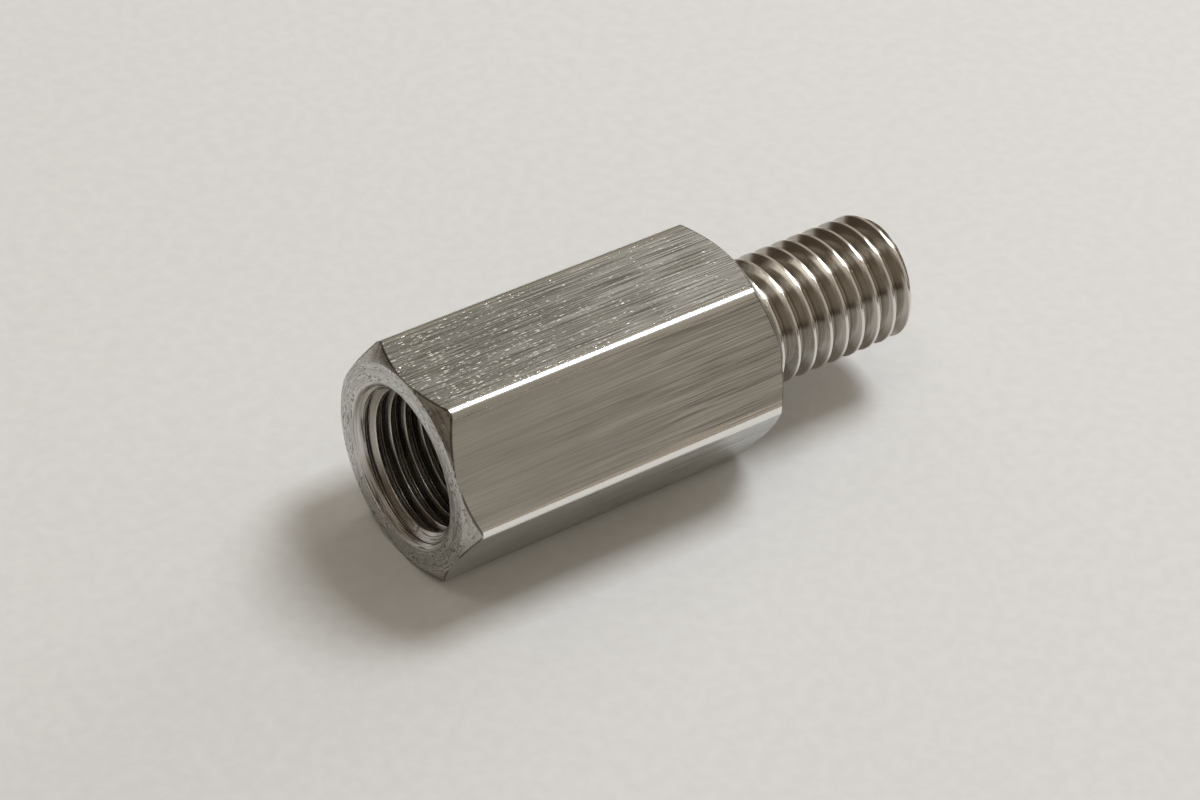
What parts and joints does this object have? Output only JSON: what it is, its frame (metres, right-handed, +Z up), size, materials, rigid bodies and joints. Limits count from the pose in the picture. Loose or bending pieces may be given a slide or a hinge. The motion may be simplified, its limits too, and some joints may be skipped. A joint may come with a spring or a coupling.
{
  "type": "thread reducing adapter",
  "caption": "Short hexagonal steel thread adapter with a threaded blind bore at one end and a smaller threaded stud at the other, lying on one flat.",
  "frame": {"origin": "on the supporting surface, under the middle of the part's bounding box", "axes": "+X along the common thread axis, out of the threaded stud; -X points out of the bore's mouth; +Z up, square to the flat that the part rests on"},
  "size_m": [0.043, 0.0182, 0.016],
  "materials": {
    "body": "plain turned and drawn stainless steel, brushed along the hexagon"
  },
  "bodies": {
    "root": {"adapter_body": "body"}
  },
  "joints": []
}
